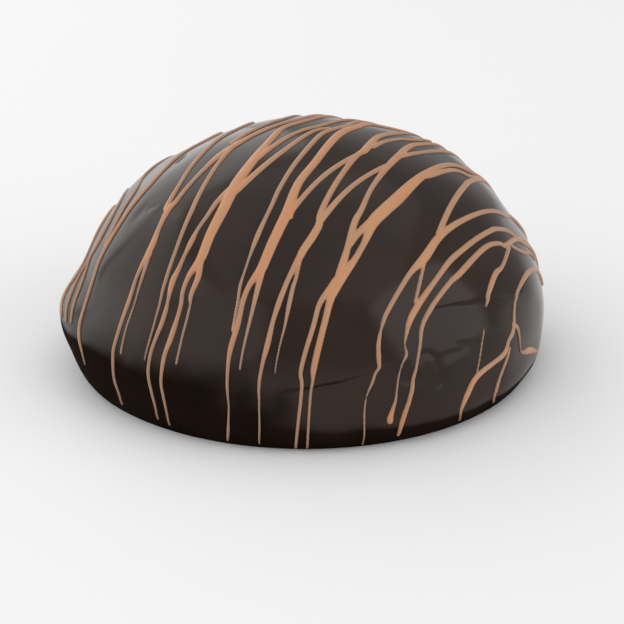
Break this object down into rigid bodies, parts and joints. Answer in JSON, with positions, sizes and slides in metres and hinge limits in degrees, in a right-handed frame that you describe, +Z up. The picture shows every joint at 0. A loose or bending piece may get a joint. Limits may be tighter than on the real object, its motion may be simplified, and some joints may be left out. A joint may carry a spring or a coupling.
{
  "type": "dome cake",
  "caption": "Round dome cake in dark chocolate glaze, with thin and broad strands of caramel drizzle over the top and down the sides, on a flat foot.",
  "frame": {"origin": "the centre of the flat foot that the cake rests on", "axes": "+Z up; the front of the cake, as it is seen in the picture, faces -Y; +X is to the viewer's right"},
  "size_m": [0.1901, 0.1828, 0.0934],
  "materials": {
    "glaze": "smooth glossy dark chocolate glaze",
    "drizzle": "smooth satin caramel icing"
  },
  "bodies": {
    "root": {"cake": "glaze"}
  },
  "joints": []
}
